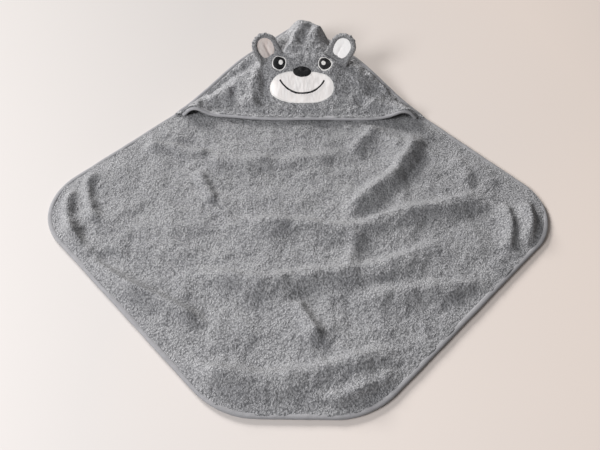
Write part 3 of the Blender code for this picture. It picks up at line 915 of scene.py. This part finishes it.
def front_points(offset, step):
    """Line in front of the hood's edge from its right end to its left."""
    half = HOOD_HALF - 0.002
    x = np.linspace(half, -half, 900)
    line = pairs(x, front_y(x) - offset)
    run = run_along(line)
    return points_at(np.linspace(0, run[-1], int(run[-1] / step)), run, line)


def front_height(x):
    """Middle height of the hood's front edge."""
    y = front_y(x)
    return hood_base(x, y) + CLOTH / 2 + 0.3 * hood_folds(x, y)


def build_front_tape():
    line = front_points(FRONT_TAPE_OUT, TAPE_STEP)
    normal = left_normal(np.gradient(line, axis=0))
    centre_z = front_height(line[:, 0]) + 0.0004 * noise(line[:, 0], line[:, 1], 0.02, 51)
    centres = to_world(line[:, 0], line[:, 1], centre_z)
    tangent = unit(np.gradient(centres, axis=0))
    across = flat_across(normal)
    across = unit(across - tangent * (across * tangent).sum(axis=1)[:, None])
    up = np.cross(across, tangent)
    up *= np.sign(up[:, 2:3])
    sections = [oval(16) * np.array(FRONT_TAPE_HALF)] * len(line)
    return sweep("hood_edge_binding", centres, across, up, sections, FRONT_TAPE_PAINTED_LIGHT, False)


def stitches(name, line, heights, material):
    """Row of lockstitches lying along a line, each one a thread that dips in at both ends."""
    pitch, length, width = STITCH
    run = run_along(line)
    count = int(run[-1] / pitch)
    shape = oval(6, 2.0)
    one_stitch = tube_faces(5, len(shape))
    places_along = np.array([-0.5, -0.32, 0.0, 0.32, 0.5]) * length
    sizes = (0.25, 0.85, 1.0, 0.85, 0.25)
    sinks = (-0.9, -0.1, 0.25, -0.1, -0.9)
    points, faces = [], []
    for i in range(count):
        places = run[-1] * (i + 0.5) / count + places_along
        x = np.interp(places, run, line[:, 0])
        y = np.interp(places, run, line[:, 1])
        z = np.interp(places, run, heights)
        tangent = np.array([x[-1] - x[0], y[-1] - y[0], z[-1] - z[0]])
        tangent /= np.linalg.norm(tangent)
        across = np.array([-tangent[1], tangent[0], 0.0])
        across /= np.linalg.norm(across)
        up = np.cross(tangent, across)
        start = len(points)
        for k in range(5):
            centre = np.array([x[k], y[k] - CENTRE_Y, z[k]]) + up * sinks[k] * width / 2
            for a, b in shape:
                points.append(centre + across * a * width / 2 * sizes[k]
                              + up * b * width / 2.4 * sizes[k])
        faces += [tuple(start + k for k in face) for face in one_stitch]
    return mesh_object(name, points, faces, material)


def build_towel():
    made = closed_sheet("towel_sheet", TOWEL_MESH, lambda x, y: inside(x, y) - RIM,
                        (-0.60, 0.60, -0.50, 0.60), towel_top, towel_under, GREY)
    tape = build_outline_tape()
    line = outline(OUTLINE_STITCHES_IN, 0.002)
    line = np.concatenate([line, line[:1]])
    _, high = outline_heights(line)
    sewn = stitches("outline_stitching", line, high - 0.0004, GREY_THREAD)
    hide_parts("towel_panel", "hooded_corner")
    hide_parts("edge_binding", "hood_seam_binding")
    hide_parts("edge_stitching", "hood_seam_stitching")
    for piece in (made, tape, sewn):
        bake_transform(piece)
    return made, tape, sewn


# ---- hood


def blend_hood(piece):
    """Bakes the piece's placement into its points."""
    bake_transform(piece)


def build_hood():
    def shape(x, y):
        return np.minimum(inside(x, y) - RIM, y - front_y(x) + HOOD_CLOTH_OUT)

    def under(x, y):
        return hood_base(x, y) + 0.75 * hood_folds(x, y)

    made = closed_sheet("hood_sheet", HOOD_MESH, shape, (-0.30, 0.30, 0.20, 0.60),
                        hood_top, under, HOOD_GREY, hood_bulge)
    tape = build_front_tape()
    line = front_points(FRONT_STITCHES_OUT, 0.002)
    sewn = stitches("hood_edge_stitching", line, front_height(line[:, 0]) + FRONT_STITCHES_UP,
                    GREY_THREAD)
    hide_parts("hood_panel")
    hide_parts("hood_front_binding")
    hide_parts("hood_front_stitching")
    for piece in (made, tape, sewn):
        blend_hood(piece)
    return made, tape, sewn


# ---- face

def drape(points, lift):
    """Plan points with a height above the hood's cloth, in the world."""
    x, y = points[..., 0], points[..., 1]
    return to_world(x, y, hood_smooth(x, y) + lift)


def disc_patch(name, line, centre, rings, height, skirt, material):
    """Closed patch on the hood: rings shrink from its outline, height(share, x, y) above it."""
    centre = np.asarray(centre, float)
    shares = 1 - np.linspace(0, 1, rings, endpoint=False)
    grid = shrunk(line, centre, shares)
    lift = height(shares[:, None] * np.ones(len(line)), grid[..., 0], grid[..., 1])
    points = np.concatenate([
        drape(grid, lift).reshape(-1, 3),
        drape(centre[None], height(np.zeros(1), centre[:1], centre[1:])),
        drape(line, -skirt),
        drape(centre[None], np.full(1, -skirt)),
    ])
    return mesh_object(name, points, lens_faces(rings, len(line)), material)


def satin_line(name, outer, inner, tall, stitch_length, material, closed, lift=0.0):
    """Satin stitch: a raised rope of short threads laid across a line."""
    per_stitch = 3
    centre = (outer + inner) / 2
    run = run_along(centre)
    total = run[-1] + (np.linalg.norm(centre[0] - centre[-1]) if closed else 0)
    steps = per_stitch * max(8, int(round(total / stitch_length)))
    at = np.linspace(0, total, steps, endpoint=not closed)
    if closed:
        run = np.append(run, total)
        outer = np.concatenate([outer, outer[:1]])
        inner = np.concatenate([inner, inner[:1]])
    a, b = points_at(at, run, outer), points_at(at, run, inner)
    random = np.random.default_rng(61).uniform(-1, 1, steps // per_stitch + 2)
    ridge = 0.5 + 0.5 * np.cos(2 * np.pi * (np.arange(steps) / per_stitch))
    points = []
    for i in range(steps):
        grow = 0.06 * random[i // per_stitch]
        for s in np.linspace(0, 1, 7):
            place = a[i] + (b[i] - a[i]) * ((s - 0.5) * (1 + grow) + 0.5)
            bulge = math.sqrt(max(0.0, 1 - (2 * s - 1) ** 2))
            points.append((*place, lift + tall * bulge * (0.82 + 0.18 * ridge[i])))
        for s in (0.98, 0.02):
            points.append((*(a[i] + (b[i] - a[i]) * s), lift - 0.0010))
    points = np.array(points)
    faces = turned_over(tube_faces(steps, len(points) // steps, closed))
    return mesh_object(name, drape(points[:, :2], points[:, 2]), faces, material)


def rows_of_thread(size, pitch, direction, lift=0.0):
    """Height of satin stitching laid in rows across a filled shape."""
    def height(share, x, y):
        body = size * np.sqrt(np.clip(1 - share ** 3.2, 0, 1)) + 0.0004
        across = x * math.cos(direction) + y * math.sin(direction)
        ridges = 0.00010 * np.cos(2 * np.pi * across / pitch) * (1 - share ** 6)
        return body + ridges + lift
    return height


def muzzle_height(share, x, y):
    quilt = 0.0004 * noise(x, y, 0.012, 71) + 0.0004 * noise(x * 2.4, y * 0.8, 0.010, 72)
    return 0.0010 + quilt * (1 - share ** 8) + 0.0006 * (1 - share ** 6)


def build_muzzle():
    angles = np.linspace(0, 2 * np.pi, 260, endpoint=False)
    patch = disc_patch("muzzle_applique", muzzle_line(angles, -BORDER_WIDTH * 0.6), MUZZLE, 46,
                       muzzle_height, 0.0012, WHITE_PLUSH)
    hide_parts("muzzle_patch")
    border = satin_line("muzzle_satin_border", muzzle_line(angles),
                        muzzle_line(angles, -BORDER_WIDTH), 0.0017, 0.0011, WHITE_THREAD, True)
    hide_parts("muzzle_border_stitching")
    return [patch, border]


def build_nose(circle):
    nose = disc_patch("nose_embroidery", np.array(NOSE) + circle * np.array(NOSE_HALF), NOSE, 40,
                      rows_of_thread(0.0016, THREAD_PITCH, math.pi / 2, 0.0013), 0.0004,
                      BLACK_THREAD)
    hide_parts("nose")
    return nose


def build_mouth():
    """The smile is the lower part of an ellipse, cut off where it is 0.90 of its width."""
    cut = 0.90
    half_width, depth, half_line = 0.0485, 0.0260, 0.0019
    reach = math.asin(cut)
    half_x = half_width / cut
    half_y = depth / (1 - math.cos(reach))
    centre_y = NECK_Y + MOUTH_UP + half_y * math.cos(reach)
    swing = np.linspace(-reach, reach, 160)
    outer, inner = (pairs(MOUTH_X + np.sin(swing) * (half_x + grow),
                          centre_y - np.cos(swing) * (half_y + grow))
                    for grow in (half_line, -half_line))
    mouth = satin_line("mouth_embroidery", outer, inner, 0.0018, 0.0011, BLACK_THREAD, False,
                       lift=0.0012)
    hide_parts("mouth")
    return mouth


def build_eye(side, sign, circle):
    eye = EYES[side]
    pupil = disc_patch(side + "_eye_embroidery",
                       eye + circle * (EYE_RADIUS - EYE_RING_WIDTH * 0.75), eye, 30,
                       rows_of_thread(0.0013, THREAD_PITCH, math.pi / 2 - sign * 0.3), 0.0006,
                       BLACK_THREAD)
    ring = satin_line(side + "_eye_satin_ring", eye + circle * EYE_RADIUS,
                      eye + circle * (EYE_RADIUS - EYE_RING_WIDTH), 0.0014, 0.0010, WHITE_THREAD,
                      True)
    shine = middle(side + "_eye_glint")
    glint = disc_patch(side + "_eye_glint_stitch", shine + circle * GLINT_RADIUS, shine, 14,
                       rows_of_thread(0.0008, 0.0010, 0.4, 0.0014), -0.0008, WHITE_THREAD)
    for piece, node, slot in ((pupil, "_eye", "black_thread"), (ring, "_eye_ring", "white_thread"),
                              (glint, "_eye_glint", "white_thread")):
        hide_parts(side + node)
    return [pupil, ring, glint]


def build_face():
    turn = np.linspace(0, 2 * np.pi, 160, endpoint=False)
    circle = pairs(np.cos(turn), np.sin(turn))
    made = [*build_muzzle(), build_nose(circle), build_mouth(),
            *build_eye("left", -1, circle), *build_eye("right", 1, circle)]
    for piece in made:
        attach(piece, "hood")
    return made


# ---- ears

def ear_frame(side, sign):
    """Ear's own axes: along its base, up the ear, and forwards."""
    joint = next(j for j in frame["joints"] if j["name"] == side + "_ear_flop")
    origin = Vector(joint["pos_m"])
    along = Vector(joint["axis"]).normalized()
    turn = math.radians(EAR_TURN)
    lean = math.radians(EAR_LEAN)
    outward = Vector((sign * math.sin(turn), math.cos(turn), 0))
    up = outward * math.sin(lean) + Vector((0, 0, math.cos(lean)))
    up = (up - along * up.dot(along)).normalized()
    return origin, along, up, along.cross(up)


def ear_bend(x, y):
    """The ear's middle surface, forwards of its base."""
    return EAR_CURVE * x ** 2 - EAR_TIP_LEAN * np.maximum(0, y - EAR_TIP_START)


def ear_crease(x, y, sign, depth, width):
    """Depth of the crease up the front, a little towards the face."""
    return depth * bell((x - sign * -0.002) / width) * ease((0.045 - y) / 0.03)


def ear_points(x, y, top, middle_point, low_z):
    """Points for lens_faces: the rings, their middle, and the flat side's rim and middle."""
    centre_x, centre_y, top_z, low_middle_z = middle_point
    return np.concatenate([np.stack([x, y, top], axis=-1).reshape(-1, 3),
                           [[centre_x, centre_y, top_z]],
                           np.stack([x[0], y[0], low_z], axis=-1),
                           [[centre_x, centre_y, low_middle_z]]])


def ear_outline(around):
    """A disc cut off by its base, with soft corners: its outline and how far out each point is."""
    angle = np.linspace(0, 2 * np.pi, around, endpoint=False)
    circle = pairs(np.cos(angle), np.sin(angle))
    softness = 0.002
    to_side = EAR_ROUND * 0.98 / np.maximum(np.abs(circle[:, 0]), 1e-6)
    to_base = (EAR_CENTRE_HEIGHT + EAR_SUNK) / np.maximum(-circle[:, 1], 1e-6)
    soft = -softness * np.log(np.exp(-to_side / softness) + np.exp(-to_base / softness))
    lower = np.maximum(soft, np.minimum(EAR_ROUND, to_base * 0.97))
    edge = np.where(circle[:, 1] < 0, lower, EAR_ROUND)
    return circle * edge[:, None] + np.array([0, EAR_CENTRE_HEIGHT]), edge


def ear_layer(sign, sense, puff, hollow):
    """Points and faces of one plush layer: sense is 1 for the front and -1 for the back."""
    around, rings = 150, 25
    rim, edge = ear_outline(around)
    shares = np.sin(np.linspace(0.0, 0.5, rings + 1) * np.pi)[:0:-1]
    centre = np.array([0, EAR_CENTRE_HEIGHT - 0.002])
    grid = shrunk(rim, centre, shares)
    x, y = grid[..., 0], grid[..., 1]
    gap = (1 - shares)[:, None] * edge[None]
    thick = puff * np.sqrt(np.clip(1 - (1 - np.clip(gap / 0.008, 0, 1)) ** 2, 0, 1))
    thick = thick - hollow * ease((gap - 0.007) / 0.009) * ease((y + 0.006) / 0.02)
    open_pile = 1.0
    if sense > 0:
        lining = np.hypot(x / LINING_HALF, (y - LINING_MIDDLE)
                          / np.where(y > LINING_MIDDLE, LINING_UP, LINING_DOWN))
        open_pile = ease((lining - 0.93) / 0.09)
        thick = thick - ear_crease(x, y, sign, 0.0018, 0.004) - LINING_DEPTH * (1 - open_pile)
    grain = 0.6 * tufts(x, y, 0.0052, 81 + sense) + 0.4 * noise(x, y, 0.003, 83)
    thick = thick + EAR_PILE * (grain - 0.3) * ease(gap / 0.003) * open_pile
    scale = 1 + relief(x, y, EAR_RUFFLE) / EAR_RADIUS * (gap < 0.004)
    x = centre[0] + (x - centre[0]) * scale
    y = centre[1] + (y - centre[1]) * scale
    bend = ear_bend(x, y)
    centre_bend = ear_bend(*centre)
    middle_point = (*centre, centre_bend + sense * (puff - hollow), centre_bend)
    points = ear_points(x, y, bend + sense * thick, middle_point, bend[0] - sense * 0.0002)
    faces = lens_faces(rings, around)
    return points, faces if sense > 0 else turned_over(faces)


def ear_lining(sign):
    """Points and faces of the leaf-shaped patch let into the ear's front."""
    around, rings = 140, 24
    turn = np.linspace(0, 2 * np.pi, around, endpoint=False)
    s = np.sin(turn)
    line = pairs(LINING_HALF * np.cos(turn),
                 np.where(s > 0, LINING_UP, LINING_DOWN) * s + LINING_MIDDLE)
    centre = np.array([0, LINING_MIDDLE])
    shares = 1 - np.linspace(0, 1, rings, endpoint=False)
    grid = shrunk(line, centre, shares)
    x, y = grid[..., 0], grid[..., 1]
    bend = ear_bend(x, y)
    body = (0.0038 + 0.0010 * (1 - shares[:, None] ** 4) - ear_crease(x, y, sign, 0.0020, 0.0035)
            + 0.0003 * noise(x, y, 0.006, 91))
    centre_bend = ear_bend(*centre)
    middle_point = (*centre, centre_bend + 0.0030, centre_bend + LINING_DEPTH)
    points = ear_points(x, y, bend + body, middle_point, bend[0] + LINING_DEPTH)
    return points, lens_faces(rings, around)


def build_ear(side, sign):
    origin, along, up, forward = ear_frame(side, sign)
    axes = np.array([along, up, forward])
    place = np.array(origin) - EAR_LOWERED[side] * np.array(up) + np.array([EAR_SHIFT[side], 0, 0])

    def piece_of(name, shape, material):
        points, faces = shape
        return mesh_object(side + name, points @ axes + place, faces, material)

    front = piece_of("_ear_plush_front", ear_layer(sign, 1, 0.0062, 0.0030), EAR_GREY)
    back = piece_of("_ear_plush_back", ear_layer(sign, -1, 0.0058, -0.0008), EAR_GREY)
    lining = piece_of("_ear_lining", ear_lining(sign), LINING[side])
    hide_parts(side + "_ear_front")
    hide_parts(side + "_ear_back")
    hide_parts(side + "_ear_inner_patch")
    for piece in (front, back, lining):
        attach(piece, side + "_ear")


# ---- room, light and camera

FLOOR_HALF = 6
# The floor's colour runs from cool and darker on the left to warm and lighter on the right:
# painted light, offsetting the key light's fall-off across the floor and giving the dimmer right
# side its warm tint.
FLOOR_COOL_PAINTED_LIGHT, FLOOR_WARM_PAINTED_LIGHT = (0.545, 0.517, 0.503), (0.700, 0.618, 0.568)
WORLD_COLOUR, WORLD_STRENGTH = (1.0, 0.985, 0.97, 1), 0.20
# Place, size, power in watts, and colour; both lights point at the middle of the floor
LIGHTS = {
    "key": ((-5.6, 7.0, 4.0), 3.2, 1430, (1.0, 0.985, 0.965)),
    "fill": ((-1.55, -1.00, 1.55), 1.0, 48, (0.98, 0.985, 1.0)),
}
CAMERA_LENS = 38.256
CAMERA_TARGET = (0.00408, -0.08524, 0)
CAMERA_DISTANCE = 1.24785
CAMERA_ELEVATION = 55.0
CAMERA_ROLL = 0.8


def build_stage():
    data = bpy.data.meshes.new("floor")
    data.from_pydata([(a * FLOOR_HALF, b * FLOOR_HALF, 0)
                      for a, b in ((-1, -1), (1, -1), (1, 1), (-1, 1))], [], [(0, 1, 2, 3)])
    floor = bpy.data.objects.new("floor", data)
    bpy.context.scene.collection.objects.link(floor)
    made, tree, shader = node_material("pale_floor_painted_light")
    place = object_place(tree)
    across = add(tree, "ShaderNodeSeparateXYZ", place)
    # Colour graded across the floor, with some random patches: painted light.
    tone = weighted(tree, across.outputs[0], 0.5, noise_node(tree, place, 1.3, 1.0), 0.3)
    colour = ramp(tree, tone, ((0.0, FLOOR_COOL_PAINTED_LIGHT), (0.45, FLOOR_WARM_PAINTED_LIGHT)))
    tree.links.new(colour, shader.inputs["Base Color"])
    shader.inputs["Roughness"].default_value = 0.7
    shader.inputs["Specular IOR Level"].default_value = 0.1
    data.materials.append(made)


def build_light_and_camera():
    scene = bpy.context.scene
    scene.view_settings.view_transform = "Standard"
    world = bpy.data.worlds.new("studio")
    world.use_nodes = True
    back = world.node_tree.nodes["Background"]
    back.inputs["Color"].default_value = WORLD_COLOUR
    back.inputs["Strength"].default_value = WORLD_STRENGTH
    scene.world = world
    for name, (place, size, power, colour) in LIGHTS.items():
        data = bpy.data.lights.new(name, "AREA")
        data.shape = "DISK"
        data.size = size
        data.energy = power
        data.color = colour
        made = bpy.data.objects.new(name, data)
        made.location = place
        made.rotation_euler = (-Vector(place)).to_track_quat("-Z", "Y").to_euler()
        scene.collection.objects.link(made)

    data = bpy.data.cameras.new("camera")
    data.sensor_width = 36.0
    data.lens = CAMERA_LENS
    camera = bpy.data.objects.new("camera", data)
    scene.collection.objects.link(camera)
    elevation, roll = math.radians(CAMERA_ELEVATION), math.radians(CAMERA_ROLL)
    away = Vector((0, -math.cos(elevation), math.sin(elevation)))
    camera.location = Vector(CAMERA_TARGET) + away * CAMERA_DISTANCE
    turned = Matrix.Rotation(math.pi / 2 - elevation, 3, "X") @ Matrix.Rotation(roll, 3, "Z")
    camera.rotation_euler = turned.to_euler()
    scene.camera = camera


build_light_and_camera()
build_stage()
towel_pieces = build_towel()
hood_pieces = build_hood()
face_pieces = build_face()
build_ear("left", -1)
build_ear("right", 1)
